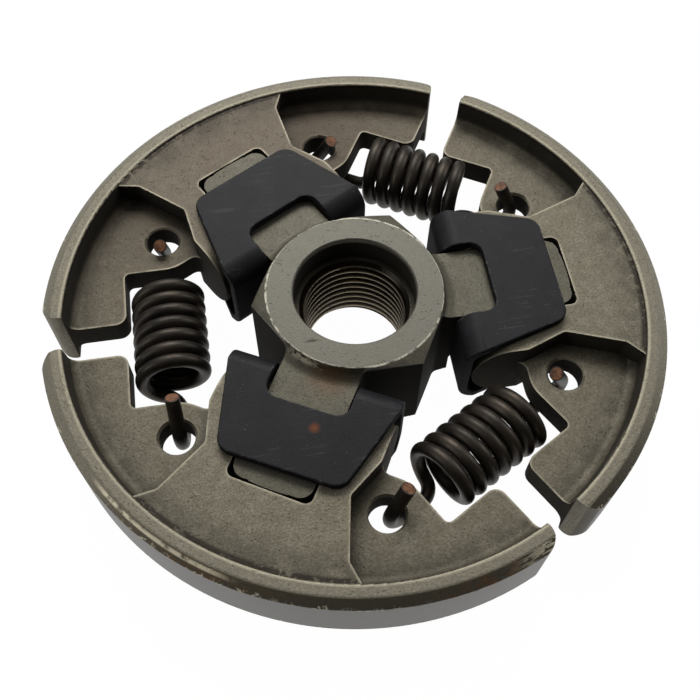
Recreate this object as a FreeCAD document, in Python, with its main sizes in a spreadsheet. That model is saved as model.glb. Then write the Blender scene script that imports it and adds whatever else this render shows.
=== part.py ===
import FreeCAD, Part
import math
import os
import re
import Sketcher

# Three-shoe centrifugal clutch of a chainsaw. Millimetres, +Z up.
# Origin: on the crankshaft's axis, at the boss's bottom face. The first shoe points along +X.

SHOES = 3
TURN = 360 / SHOES
HALF_TURN = TURN / 2

doc = FreeCAD.newDocument("clutch")


# Driving dimensions
SIZES = [
    ("friction_radius", 33.0, "outer radius of the shoes at rest"),
    ("rim_height", 8.5, "height of the shoes' rim"),
    ("rim_lift", 3.4, "rim's lower face above the boss's bottom face"),
    ("rim_inner_radius", 30.74, "inner radius of the rim at its end faces"),
    ("rim_foot_radius", 30.4, "inner radius of the rim where it meets the web"),
    ("rim_foot_round", 1.2, "hollow round between rim and web"),
    ("rim_edge_round", 0.3, "round on the rim's inner top edge"),
    ("shoulder_width", 0.95, "bevel beside the friction band, along the radius"),
    ("shoulder_height", 0.75, "the same bevel, along the height"),
    ("web_thickness", 2.9, "thickness of the thin web at the shoe's ends"),
    ("pad_drop", 0.25, "thick middle's faces below the rim's end faces"),
    ("pad_seat", 31.4, "how far the thick middle reaches into the rim"),
    ("end_gap", 3.8, "gap between the ends of two shoes"),
    ("end_round", 1.8, "round at the rim's outer end corners"),
    ("tab_along", 24.45, "inner edge of the rim's end tabs, from the axis along the gap"),
    ("tab_round", 1.2, "round of the tab's corner"),
    ("notch_round", 0.6, "round in the inner corner of the spring's notch"),
    ("hole_along", 20.0, "spring hole from the axis, along the gap"),
    ("hole_off", 12.25, "spring hole from the middle of the gap"),
    ("hole_radius", 1.83, "radius of the spring hole"),
    ("hole_bevel", 0.25, "bevel at the spring hole's edges"),
    ("bump_radius", 3.9, "web's edge round the spring hole"),
    ("bump_root", 1.0, "hollow round between that edge and the prong"),
    ("prong_half", 9.14, "outer sides of the prongs from the shoe's middle line"),
    ("nose_reach", 11.2, "prong noses from the crankshaft's axis"),
    ("nose_flat", 0.1, "half height left between the rounds over the noses"),
    ("step_start", 16.7, "where the step leaves the prong's side"),
    ("step_waist", 7.57, "half width of the thick middle at its waist"),
    ("step_waist_at", 20.97, "distance of that waist from the axis"),
    ("step_kink", 9.77, "half width where the step turns to the rim"),
    ("step_kink_at", 26.99, "distance of that turn from the axis"),
    ("step_wide", 11.4, "half width where the step meets the rim"),
    ("step_wide_at", 28.36, "distance of that place from the axis"),
    ("step_round", 0.8, "rounds in the step's outline"),
    ("arm_half", 4.12, "half width of the carrier's arms"),
    ("arm_reach", 23.2, "outer end of the arms"),
    ("arm_corner", 1.4, "corner rounds of the arms' ends"),
    ("arm_root", 0.8, "hollow rounds where the arms leave the boss"),
    ("arm_clearance", 0.05, "arm's faces below the shoe's thick middle"),
    ("slot_side_gap", 0.3, "shoe's slot from the arm's sides"),
    ("slot_end_gap", 0.15, "shoe's slot from the arm's end"),
    ("slot_corner", 0.8, "corner rounds of the slot"),
    ("hex_flats", 19.0, "width of the boss's hexagon across flats"),
    ("boss_height", 13.0, "height of the boss"),
    ("disc_radius", 9.4, "turned face of the boss"),
    ("disc_drop", 0.55, "how far that face falls away to the hexagon's corners"),
    ("recess_radius", 6.53, "counterbore"),
    ("recess_depth", 3.2, "depth of the counterbore"),
    ("recess_bevel", 0.15, "bevel at the counterbore's mouth"),
    ("thread_major", 6.0, "M12 x 1 thread, outer radius"),
    ("thread_minor", 5.46, "M12 x 1 thread, bore radius"),
    ("sheet", 1.0, "retainer's sheet thickness"),
    ("clip_clearance", 0.03, "retainer's legs from the faces that they clasp"),
    ("clip_back_gap", 0.2, "retainer's bend from the prongs' noses"),
    ("clip_bend", 1.2, "inner radius of the retainer's bend"),
    ("clip_length", 11.5, "retainer from the back of its bend to the legs' ends"),
    ("clip_half_back", 9.2, "half width at the bend"),
    ("clip_half_front", 6.45, "half width at the legs' ends"),
    ("clip_taper", 9.65, "how far back from the legs' ends the sides slant"),
    ("clip_corner", 1.75, "corner rounds of the legs"),
    ("clip_notch_half", 4.35, "half width of the notch for the arm"),
    ("clip_notch_depth", 4.45, "depth of that notch from the back of the bend"),
    ("clip_notch_round", 1.4, "corner rounds of that notch"),
    ("clip_shift_1", 0.05, "how far retainer 1 has slid outwards in its play"),
    ("clip_shift_2", -0.8, "retainer 2, the same"),
    ("clip_shift_3", -0.18, "retainer 3, the same"),
    ("clip_twist_3", 2.0, "degrees that retainer 3 has turned in its play"),
    ("wire", 1.5, "diameter of the spring's wire"),
    ("coil_diameter", 8.0, "outer diameter of the springs"),
    ("coil_turns", 7.0, "turns of each spring"),
    ("coil_pitch_1", 1.65, "distance from turn to turn of spring 1"),
    ("coil_pitch_2", 1.55, "spring 2, the same"),
    ("coil_pitch_3", 1.65, "spring 3, the same"),
    ("coil_rise", 0.35, "coil's axis above the shoe's mid-height"),
    ("hook_bend", 1.7, "radius in which the wire leaves the coil"),
    ("hook_wide_bend", 3.0, "wide bend that turns the wire up into the hole"),
    ("hook_tight_bend", 1.6, "tight bend, the same"),
    ("hook_lean", 27.0, "degrees that the hooks lean back over the hole's edge"),
    ("hook_play", 0.08, "wire from the side of the hole that it pulls on"),
    ("tip_1_ahead", -1.5, "end of the wire above the rim, spring 1, counterclockwise end"),
    ("tip_1_behind", -0.5, "spring 1, clockwise end"),
    ("tip_2_ahead", 0.7, "spring 2, counterclockwise end"),
    ("tip_2_behind", -1.6, "spring 2, clockwise end"),
    ("tip_3_ahead", -2.0, "spring 3, counterclockwise end"),
    ("tip_3_behind", 0.2, "spring 3, clockwise end"),
]
sheet = doc.addObject("Spreadsheet::Sheet", "Sizes")
for row, (alias, value, note) in enumerate(SIZES, start=1):
    sheet.set(f"A{row}", note)
    sheet.set(f"B{row}", str(value))
    sheet.setAlias(f"B{row}", alias)
doc.recompute()
ALIASES = {alias for alias, value, note in SIZES}


def on_sheet(text):
    # The text of an expression, with every size in it read from the sheet
    return re.sub(r"[a-z][a-z_0-9]*", lambda m: "Sizes." + m[0] if m[0] in ALIASES else m[0], str(text))


def worth(text):
    # The number that an expression comes to now
    return float(sheet.evalExpression(on_sheet(text)))


def bind(thing, **values):
    # Tie properties of a feature to expressions on the sheet
    for name, text in values.items():
        thing.setExpression(name, on_sheet(text))


def new_body(label):
    body = doc.addObject("PartDesign::Body", label)
    body.Label = label
    return body


def new_sketch(body, name, plane):
    sketch = body.newObject("Sketcher::SketchObject", name)
    origin = [f for f in body.Origin.OriginFeatures if f.Role == plane][0]
    sketch.AttachmentSupport = [(origin, "")]
    sketch.MapMode = "FlatFace"
    return sketch


def pin_down(sketch, geometry, point, x, y):
    # Fix a point of the sketch at the place that two expressions give
    for kind, text in (("DistanceX", x), ("DistanceY", y)):
        index = sketch.addConstraint(Sketcher.Constraint(kind, -1, 1, geometry, point, worth(text)))
        sketch.setExpression(f"Constraints[{index}]", on_sheet(text))


def draw_circle(sketch, x, y, radius):
    centre = FreeCAD.Vector(worth(x), worth(y), 0)
    circle = sketch.addGeometry(Part.Circle(centre, FreeCAD.Vector(0, 0, 1), worth(radius)), False)
    if (x, y) == ("0", "0"):
        sketch.addConstraint(Sketcher.Constraint("Coincident", circle, 3, -1, 1))
    else:
        pin_down(sketch, circle, 3, x, y)
    index = sketch.addConstraint(Sketcher.Constraint("Radius", circle, worth(radius)))
    sketch.setExpression(f"Constraints[{index}]", on_sheet(radius))


def draw_outline(sketch, corners):
    # A closed outline through (x, y) or (x, y, round) corners, each value an expression
    corners = [corner if len(corner) == 3 else (*corner, None) for corner in corners]
    places = [FreeCAD.Vector(worth(x), worth(y), 0) for x, y, r in corners]
    count = len(corners)
    ways_in = []
    ways_out = []
    arcs = {}
    for i, (x, y, r) in enumerate(corners):
        here = places[i]
        back = (places[i - 1] - here).normalize()
        ahead = (places[(i + 1) % count] - here).normalize()
        if r is None:
            ways_in.append(here)
            ways_out.append(here)
            continue
        half = back.getAngle(ahead) / 2
        reach = worth(r) / math.tan(half)
        ways_in.append(here + back * reach)
        ways_out.append(here + ahead * reach)
        centre = here + (back + ahead).normalize() * (worth(r) / math.sin(half))
        turns_left = back.cross(ahead).z < 0
        first, last = (ways_in[i], ways_out[i]) if turns_left else (ways_out[i], ways_in[i])
        start = math.atan2(first.y - centre.y, first.x - centre.x)
        stop = math.atan2(last.y - centre.y, last.x - centre.x)
        circle = Part.Circle(centre, FreeCAD.Vector(0, 0, 1), worth(r))
        arcs[i] = (Part.ArcOfCircle(circle, start, stop), turns_left)
    lines = [
        sketch.addGeometry(Part.LineSegment(ways_out[i], ways_in[(i + 1) % count]), False)
        for i in range(count)
    ]
    for i, (x, y, r) in enumerate(corners):
        before = lines[i - 1]
        after = lines[i]
        if r is None:
            sketch.addConstraint(Sketcher.Constraint("Coincident", before, 2, after, 1))
            pin_down(sketch, after, 1, x, y)
            continue
        curve, turns_left = arcs[i]
        arc = sketch.addGeometry(curve, False)
        corner = sketch.addGeometry(Part.Point(places[i]), True)
        enter, leave = (1, 2) if turns_left else (2, 1)
        sketch.addConstraint([
            Sketcher.Constraint("Tangent", before, 2, arc, enter),
            Sketcher.Constraint("Tangent", arc, leave, after, 1),
            Sketcher.Constraint("PointOnObject", corner, 1, before),
            Sketcher.Constraint("PointOnObject", corner, 1, after),
        ])
        index = sketch.addConstraint(Sketcher.Constraint("Radius", arc, worth(r)))
        sketch.setExpression(f"Constraints[{index}]", on_sheet(r))
        pin_down(sketch, corner, 1, x, y)


def mirrored(corners):
    # The same outline completed by its mirror image below the x axis
    below = [(corner[0], f"-({corner[1]})", *corner[2:]) for corner in reversed(corners)]
    return corners + below


def turned(x, y, angle):
    # A point turned about the axis, as a pair of expressions
    return f"({x})*cos({angle})-({y})*sin({angle})", f"({x})*sin({angle})+({y})*cos({angle})"


def by_gap(along, off):
    # A point given along the gap between two shoes and off its middle, in the shoe's own frame
    return turned(along, f"-({off})", HALF_TURN)


def pad(body, name, sketch, height):
    feature = body.newObject("PartDesign::Pad", name)
    feature.Profile = sketch
    feature.Midplane = True
    bind(feature, Length=height)
    return feature


def pocket(body, name, sketch, depth):
    feature = body.newObject("PartDesign::Pocket", name)
    feature.Profile = sketch
    feature.Midplane = True
    bind(feature, Length=depth)
    return feature


def spin(body, kind, name, sketch, angle=360):
    # A solid or a cut turned about the upright axis
    feature = body.newObject(kind, name)
    feature.Profile = sketch
    feature.ReferenceAxis = (sketch, ["V_Axis"])
    feature.Angle = angle
    feature.Midplane = True
    return feature


def edges_where(feature, test):
    # Names of the edges whose middle point and ends pass the test
    names = []
    for number, edge in enumerate(feature.Shape.Edges, start=1):
        middle = edge.valueAt((edge.FirstParameter + edge.LastParameter) / 2)
        if test(edge, middle, [vertex.Point for vertex in edge.Vertexes]):
            names.append(f"Edge{number}")
    return names


def dress(body, kind, name, test, **values):
    # A fillet or a chamfer on the edges of the body's last feature that pass the test
    doc.recompute()
    base = body.Tip
    feature = body.newObject(kind, name)
    feature.Base = (base, edges_where(base, test))
    bind(feature, **values)
    return feature


MID_HEIGHT = "rim_lift+rim_height/2"
PAD_HALF = "rim_height/2-pad_drop"
OUTSIDE = "friction_radius*2"
BLANK = "nose_reach-2"


# Shoe: a sintered T-section arc with a thick middle that rides on the arm
def make_shoe(number):
    body = new_body(f"shoe_{number}")

    section = new_sketch(body, "section", "XZ_Plane")
    draw_outline(section, mirrored([
        (BLANK, "web_thickness/2"),
        ("rim_foot_radius", "web_thickness/2", "rim_foot_round"),
        ("rim_inner_radius", "rim_height/2", "rim_edge_round"),
        ("friction_radius-shoulder_width", "rim_height/2"),
        ("friction_radius", "rim_height/2-shoulder_height"),
    ]))
    spin(body, "PartDesign::Revolution", "rim_and_web", section, 2 * HALF_TURN)

    step = new_sketch(body, "step", "XY_Plane")
    draw_outline(step, mirrored([
        (BLANK, "prong_half"),
        ("step_start", "prong_half", "step_round"),
        ("step_waist_at", "step_waist", "step_round"),
        ("step_kink_at", "step_kink", "step_round"),
        ("step_wide_at", "step_wide"),
        ("step_wide_at+step_round", "step_wide+step_round"),
        ("pad_seat", "step_waist/2"),
    ]))
    pad(body, "thick_middle", step, f"2*({PAD_HALF})")

    notch_off = "hole_off-bump_radius"
    hole_x, hole_y = by_gap("hole_along", "hole_off")
    bump_x = f"{hole_x}-bump_radius"
    bump_y = f"(({bump_x})*sin({HALF_TURN})-({notch_off}))/cos({HALF_TURN})"
    end_along = "sqrt(friction_radius^2-(end_gap/2+end_round)^2)"
    clear = "end_gap/2+end_round*2"
    far_x, far_y = by_gap(OUTSIDE, clear)
    plan = new_sketch(body, "plan", "XY_Plane")
    draw_circle(plan, "0", "0", f"3*{OUTSIDE}")
    draw_outline(plan, mirrored([
        ("arm_reach+slot_end_gap", "arm_half+slot_side_gap", "slot_corner"),
        ("nose_reach", "arm_half+slot_side_gap"),
        ("nose_reach", "prong_half"),
        (bump_x, "prong_half", "bump_root"),
        (bump_x, bump_y, "bump_radius"),
        (*by_gap("tab_along", notch_off), "notch_round"),
        (*by_gap("tab_along", "end_gap/2"), "tab_round"),
        (*by_gap(end_along, "end_gap/2"), "end_round"),
        by_gap(end_along, clear),
        (far_x, far_y),
        (OUTSIDE, far_y),
    ]))
    pocket(body, "cut_to_plan", plan, "2*rim_height")

    holes = new_sketch(body, "holes", "XY_Plane")
    draw_circle(holes, hole_x, hole_y, "hole_radius")
    draw_circle(holes, hole_x, f"-({hole_y})", "hole_radius")
    pocket(body, "spring_holes", holes, "2*rim_height")

    nose = worth("nose_reach")
    high = worth(PAD_HALF)

    def on_nose(edge, middle, ends):
        return abs(middle.x - nose) < 0.01 and abs(abs(middle.z) - high) < 0.01
    dress(body, "PartDesign::Fillet", "noses", on_nose, Radius=f"{PAD_HALF}-nose_flat")

    rim = worth("hole_radius")

    def round_hole(edge, middle, ends):
        return isinstance(edge.Curve, Part.Circle) and abs(edge.Curve.Radius - rim) < 0.001
    dress(body, "PartDesign::Chamfer", "hole_bevels", round_hole, Size="hole_bevel")
    return body


# Carrier: hexagonal boss with three arms, one piece, screwed on the crankshaft
def make_carrier():
    body = new_body("carrier")
    corner_radius = f"hex_flats/2/cos({HALF_TURN / 2})"
    arm_top = f"{MID_HEIGHT}+{PAD_HALF}-arm_clearance"
    arm_bottom = f"{MID_HEIGHT}-({PAD_HALF})+arm_clearance"

    section = new_sketch(body, "section", "XZ_Plane")
    draw_outline(section, [
        ("0", "0"),
        ("disc_radius", "0"),
        (corner_radius, "disc_drop"),
        (corner_radius, arm_bottom, "arm_root"),
        ("arm_reach", arm_bottom),
        ("arm_reach", arm_top),
        (corner_radius, arm_top, "arm_root"),
        (corner_radius, "boss_height-disc_drop"),
        ("disc_radius", "boss_height"),
        ("0", "boss_height"),
    ])
    spin(body, "PartDesign::Revolution", "turned_blank", section)

    star = new_sketch(body, "star", "XY_Plane")
    end_at = "sqrt(arm_reach^2-(arm_half-arm_corner)^2)"
    root_at = f"(hex_flats/2-arm_half*sin({HALF_TURN / 2}))/cos({HALF_TURN / 2})"
    corners = []
    for k in range(SHOES):
        angle = k * TURN
        corners += [
            (*turned(root_at, "-arm_half", angle), "arm_root"),
            (*turned(end_at, "-arm_half", angle), "arm_corner"),
            turned(end_at, "arm_corner/2-arm_half+arm_corner", angle),
            turned("arm_reach+arm_corner", "arm_corner/2-arm_half+arm_corner", angle),
            turned("arm_reach+arm_corner", "arm_half-arm_corner*1.5", angle),
            turned(end_at, "arm_half-arm_corner*1.5", angle),
            (*turned(end_at, "arm_half", angle), "arm_corner"),
            (*turned(root_at, "arm_half", angle), "arm_root"),
            turned(corner_radius, "0", angle + HALF_TURN),
        ]
    draw_circle(star, "0", "0", OUTSIDE)
    draw_outline(star, corners)
    pocket(body, "cut_to_star", star, "4*boss_height")

    bore = new_sketch(body, "bore", "XZ_Plane")
    draw_outline(bore, [
        ("0", "0-recess_bevel"),
        ("thread_major+recess_bevel*2", "0-recess_bevel"),
        ("thread_minor", "thread_major-thread_minor+recess_bevel"),
        ("thread_minor", "boss_height-recess_depth-(thread_major-thread_minor)"),
        ("thread_major", "boss_height-recess_depth"),
        ("recess_radius", "boss_height-recess_depth"),
        ("recess_radius", "boss_height-recess_bevel"),
        ("recess_radius+recess_bevel*2", "boss_height+recess_bevel"),
        ("0", "boss_height+recess_bevel"),
    ])
    spin(body, "PartDesign::Groove", "bore_and_recess", bore)
    return body


# Retainer: sheet steel bent to a U over the prongs, notched for the arm
def make_retainer(number):
    body = new_body(f"retainer_{number}")
    back = "nose_reach-clip_back_gap-sheet"
    inside = f"{PAD_HALF}+clip_clearance"
    tip = f"{back}+clip_length"

    bend = new_sketch(body, "bend", "XZ_Plane")
    draw_outline(bend, mirrored([
        (tip, f"{inside}+sheet"),
        (back, f"{inside}+sheet", "clip_bend+sheet"),
    ]) + [
        (tip, f"-({inside})"),
        (f"{back}+sheet", f"-({inside})", "clip_bend"),
        (f"{back}+sheet", inside, "clip_bend"),
        (tip, inside),
    ])
    pad(body, "bent_strip", bend, "3*clip_half_back")

    blank = new_sketch(body, "blank", "XY_Plane")
    draw_circle(blank, "0", "0", OUTSIDE)
    draw_outline(blank, mirrored([
        (tip, "clip_half_front", "clip_corner"),
        (f"{tip}-clip_taper", "clip_half_back"),
        (f"{back}-sheet", "clip_half_back"),
        (f"{back}-sheet", "clip_notch_half"),
        (f"{back}+clip_notch_depth", "clip_notch_half", "clip_notch_round"),
    ]))
    pocket(body, "cut_to_blank", blank, "2*rim_height")
    return body


# Spring: a close coil whose two ends run under the shoes' webs and lean back out of their holes
def make_spring(number, bends, sways):
    wire = worth("wire")
    radius = worth("coil_diameter-wire") / 2
    pitch = worth(f"coil_pitch_{number}")
    bend = worth("hook_bend")
    lean = math.radians(worth("hook_lean"))
    slope = math.atan(pitch / (2 * math.pi * radius))
    axis_z = worth(f"{MID_HEIGHT}+coil_rise")
    axis_x = worth("hole_along")
    web_top = worth(f"{MID_HEIGHT}+web_thickness/2")
    room = worth("hole_radius-hook_play") - wire / 2 / math.cos(lean)

    # Where each end leaves the coil's bottom, so that it runs straight to its place in the hole
    swing = bend * (1 - math.sin(slope))
    spread = math.hypot(radius, swing)
    leaves = [
        math.atan(swing / radius) + math.asin(side * sway / spread)
        for side, sway in zip((1, -1), sways)
    ]
    turns = worth("coil_turns") - sum(leaves) / (2 * math.pi)
    length = turns * pitch

    def on_coil(side, leave):
        return FreeCAD.Vector(axis_x + side * radius * math.sin(leave), side * length / 2,
                              axis_z - radius * math.cos(leave))

    # The helix turns from the outer side over the top to the inner side, clockwise about the boss
    start = leaves[0] - math.pi / 2
    across = FreeCAD.Vector(math.cos(start), 0, math.sin(start))
    up = FreeCAD.Vector(-math.sin(start), 0, math.cos(start))
    frame = FreeCAD.Matrix(across.x, up.x, 0, axis_x, 0, 0, -1, length / 2,
                           across.z, up.z, 0, axis_z, 0, 0, 0, 1)
    helix = Part.makeHelix(pitch, length, radius).transformGeometry(frame)

    def hook(side, leave, rise, sway, tip):
        # side 1 is the counterclockwise end, -1 the clockwise end
        way = FreeCAD.Vector(0, side, 0)
        coil_end = on_coil(side, leave)
        flat = FreeCAD.Vector(-side * math.cos(leave), 0, -math.sin(leave))
        middle = coil_end + (way * math.cos(slope) - flat * math.sin(slope)) * bend
        run_start = middle + flat * bend
        half_way = ((coil_end - middle) + (run_start - middle)).normalize()
        out_bend = Part.Arc(coil_end, middle + half_way * bend, run_start)

        shaft = FreeCAD.Vector(0, -side * math.sin(lean), math.cos(lean))
        off = worth("hole_off") - math.sqrt(room ** 2 - sway ** 2)
        crossing = FreeCAD.Vector(run_start.x, side * off, web_top)
        corner = crossing - shaft * ((web_top - run_start.z) / shaft.z)
        reach = rise * math.tan((math.pi / 2 + lean) / 2)
        run_end = corner - way * reach
        foot = corner + shaft * reach
        inward = (shaft - way).normalize()
        centre = corner + inward * (rise / math.cos((math.pi / 2 + lean) / 2))
        top = crossing + shaft * ((worth(f"rim_lift+rim_height+{tip}") - web_top) / shaft.z)
        return [
            out_bend.toShape(),
            Part.LineSegment(run_start, run_end).toShape(),
            Part.Arc(run_end, centre - inward * rise, foot).toShape(),
            Part.LineSegment(foot, top).toShape(),
        ], top, shaft

    ahead, ahead_top, ahead_way = hook(1, leaves[0], worth(bends[0]), sways[0], f"tip_{number}_ahead")
    behind, behind_top, behind_way = hook(-1, leaves[1], worth(bends[1]), sways[1], f"tip_{number}_behind")
    path = Part.Wire(list(reversed(ahead)) + helix.Edges + behind)
    ring = Part.Wire([Part.makeCircle(wire / 2, ahead_top, ahead_way)])
    feature = doc.addObject("Part::Feature", f"spring_{number}")
    feature.Label = f"spring_{number}"
    feature.Shape = path.makePipeShell([ring], True, True)
    return feature


# Retainers that have turned about the prongs' noses
TWISTS = {3: "clip_twist_3"}

nodes = {"carrier": make_carrier()}
for k in range(SHOES):
    number = k + 1
    seat = FreeCAD.Vector(0, 0, worth(MID_HEIGHT))
    up = FreeCAD.Vector(0, 0, 1)
    angle = k * TURN
    turn = FreeCAD.Rotation(up, angle)

    shoe = make_shoe(number)
    shoe.Placement = FreeCAD.Placement(seat, turn)
    bind(shoe, **{"Placement.Base.z": MID_HEIGHT})
    nodes[shoe.Label] = shoe

    retainer = make_retainer(number)
    retainer.Placement = FreeCAD.Placement(seat, turn)
    shift = f"nose_reach+clip_shift_{number}"
    facing = f"{angle}+{TWISTS.get(number, 0)}"
    bind(retainer, **{
        "Placement.Base.x": f"({shift})*cos({angle})-nose_reach*cos({facing})",
        "Placement.Base.y": f"({shift})*sin({angle})-nose_reach*sin({facing})",
        "Placement.Base.z": MID_HEIGHT,
        "Placement.Rotation.Angle": facing,
    })
    nodes[retainer.Label] = retainer

# Each spring's bends at its counterclockwise and its clockwise end, and how far the hooks sit aside
HOOKS = {
    1: (("hook_tight_bend", "hook_wide_bend"), (0.4, 0.3)),
    2: (("hook_wide_bend", "hook_tight_bend"), (-0.2, 0.2)),
    3: (("hook_tight_bend", "hook_wide_bend"), (-0.4, 0.1)),
}
for number, (bends, sways) in HOOKS.items():
    spring = make_spring(number, bends, sways)
    turn = FreeCAD.Rotation(FreeCAD.Vector(0, 0, 1), HALF_TURN + (number - 1) * TURN)
    spring.Placement = FreeCAD.Placement(FreeCAD.Vector(0, 0, 0), turn)
    nodes[spring.Label] = spring

doc.recompute()
for thing in doc.Objects:
    if "Invalid" in thing.State or "Error" in thing.State:
        raise RuntimeError(f"{thing.Label} ({thing.Name}) failed: {thing.State}")
for label, node in nodes.items():
    if node.Shape.isNull() or not node.Shape.isValid():
        raise RuntimeError(f"{label} has no valid shape")

os.makedirs("parts", exist_ok=True)
for label, node in nodes.items():
    node.Shape.exportStep(f"parts/{label}.step")
    box = node.Shape.BoundBox
    print(label, len(node.Shape.Solids), round(node.Shape.Volume, 1),
          [round(v, 2) for v in (box.XMin, box.YMin, box.ZMin, box.XMax, box.YMax, box.ZMax)])
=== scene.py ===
import math

import bmesh
import bpy
from mathutils import Matrix, Vector


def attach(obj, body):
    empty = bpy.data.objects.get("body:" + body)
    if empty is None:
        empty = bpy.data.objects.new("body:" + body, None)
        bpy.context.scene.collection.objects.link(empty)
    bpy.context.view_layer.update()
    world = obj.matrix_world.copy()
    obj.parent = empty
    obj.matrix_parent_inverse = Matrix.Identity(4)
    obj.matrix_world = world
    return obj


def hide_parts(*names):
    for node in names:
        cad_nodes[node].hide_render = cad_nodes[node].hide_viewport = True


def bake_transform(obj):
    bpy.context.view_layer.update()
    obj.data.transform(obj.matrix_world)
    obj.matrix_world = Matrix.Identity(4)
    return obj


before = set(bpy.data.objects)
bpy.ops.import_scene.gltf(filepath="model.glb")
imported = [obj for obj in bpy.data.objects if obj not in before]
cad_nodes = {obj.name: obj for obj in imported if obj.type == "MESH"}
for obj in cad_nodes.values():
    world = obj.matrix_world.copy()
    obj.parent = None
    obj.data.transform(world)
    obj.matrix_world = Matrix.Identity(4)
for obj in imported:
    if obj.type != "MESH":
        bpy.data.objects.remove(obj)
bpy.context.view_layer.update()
MM = 0.001
TURN = math.radians(120)


# Carrier: a hexagonal boss with three arms, machined from one piece of steel.
# The boss is turned to a flat ring on top, counterbored, and tapped with a left-hand
# M12 x 1 thread that screws on the crankshaft. Shapes are in millimetres, finishes in metres.
BOSS_HEIGHT = 13.0
BOSS_REACH = 12
FACE_RADIUS = 9.4
ARM_TOP = 11.6
ARM_HALF = 4.12
THREAD_CREST = 5.46
THREAD_ROOT = 6.0
THREAD_PITCH = 1.0
THREAD_TOP = 9.8
THREAD_TURNS = 12
THREAD_STEPS = 96
LEAD_IN_BELOW = 0.69
LEAD_IN_ABOVE = 0.54
BORE_REACH = 6.25
THREAD_REACH = 6.2
HOLLOW = 1.35
HOLLOW_START = BOSS_HEIGHT - 0.05
HOLLOW_REACH = 3
HOLLOW_BESIDE = 0.5
HOLLOW_RUN_OUT = 0.45
HOLLOW_STRIP = math.radians(3)
HOLLOW_BENDS = [math.radians(bend) for bend in (20, 32, 44, 56, 68, 79, 90)]
MERGED = 0.0015
ON_CUT = 0.0005


def solid_of(node):
    # A copy of a CAD node's mesh in millimetres, merged, with its flat faces made whole
    shape = bmesh.new()
    shape.from_mesh(cad_nodes[node].data)
    bmesh.ops.scale(shape, vec=(1 / MM,) * 3, verts=shape.verts)
    bmesh.ops.remove_doubles(shape, verts=shape.verts, dist=MERGED)
    bmesh.ops.dissolve_limit(shape, angle_limit=math.radians(0.4), verts=shape.verts, edges=shape.edges)
    return shape


def ease(shape, width, sharpest, wanted=None, rounds=2, wear=1.0):
    # Break the sharp edges, and mark the narrow faces that this makes, where wear shows first
    worn = shape.faces.layers.float.get("worn") or shape.faces.layers.float.new("worn")
    sharp = [
        edge for edge in shape.edges
        if len(edge.link_faces) == 2 and edge.calc_face_angle_signed(0) > math.radians(sharpest)
        and (wanted is None or wanted(edge))
    ]
    made = bmesh.ops.bevel(shape, geom=sharp, offset=width, offset_type="OFFSET", segments=rounds,
                           profile=0.5, affect="EDGES", clamp_overlap=True, material=-1)
    for face in made["faces"]:
        face[worn] = wear


def radius_of(face):
    # The largest radius that a face reaches
    return max(math.hypot(v.co.x, v.co.y) for v in face.verts)


def turned_by(face, angle):
    # How far a face's middle is from a direction round the shaft
    return abs(math.remainder(math.atan2(*face.calc_center_median().yx) - angle, 2 * math.pi))


def divide_strip(shape, angle, over_arm):
    # Cut one narrow strip of the boss's top along its sides, and across at the hollow's bends
    faces = [
        face for face in shape.faces
        if turned_by(face, angle) < 2 * HOLLOW_STRIP
        and all(over_arm(v.co, 0.1) and FACE_RADIUS - 0.02 < v.co.xy.length < BOSS_REACH for v in face.verts)
        and face.normal.z > 0.05
    ]
    if not faces:
        return
    parts = {part for face in faces for part in (face, *face.edges, *face.verts)}
    for side in (angle - HOLLOW_STRIP / 2, angle + HOLLOW_STRIP / 2):
        made = bmesh.ops.bisect_plane(shape, geom=list(parts), dist=ON_CUT, plane_co=(0, 0, 0),
                                      plane_no=(-math.sin(side), math.cos(side), 0))
        parts = set(made["geom"])
    out = Vector((math.cos(angle), math.sin(angle), 0))
    parts = {
        part for part in parts
        if isinstance(part, bmesh.types.BMFace) and turned_by(part, angle) < HOLLOW_STRIP / 2
    }
    parts |= {part for face in list(parts) for part in (*face.edges, *face.verts)}
    for bend in HOLLOW_BENDS:
        ring = FACE_RADIUS + HOLLOW * (1 - math.cos(bend))
        made = bmesh.ops.bisect_plane(shape, geom=list(parts), dist=ON_CUT, plane_no=out,
                                      plane_co=out * ring * math.cos(HOLLOW_STRIP / 2))
        parts = set(made["geom"])


def turn_hollows(shape):
    # Over each arm the lathe left a hollow round that runs down from the boss's face to the arm
    for arm in (0, 1, 2):
        to_arm = Matrix.Rotation(-arm * TURN, 3, "Z")

        def over_arm(point, slack=0.0):
            place = to_arm @ point
            beside = ARM_HALF + HOLLOW_BESIDE + slack
            return place.x > 0 and abs(place.y) < beside and ARM_TOP - 0.01 < place.z

        for step in range(-10, 10):
            divide_strip(shape, arm * TURN + (step + 0.5) * HOLLOW_STRIP, over_arm)
        for point in shape.verts:
            across = point.co.xy.length - FACE_RADIUS
            if across < 0.01 or not over_arm(point.co) or across > HOLLOW_REACH:
                continue
            left = max(HOLLOW - across, 0)
            low = max(HOLLOW_START - math.sqrt(HOLLOW ** 2 - left ** 2), ARM_TOP)
            beside = abs((to_arm @ point.co).y) - ARM_HALF
            point.co.z += (low - point.co.z) * min(max(1 - beside / HOLLOW_RUN_OUT, 0), 1)
    bmesh.ops.remove_doubles(shape, verts=shape.verts, dist=MERGED)


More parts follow.
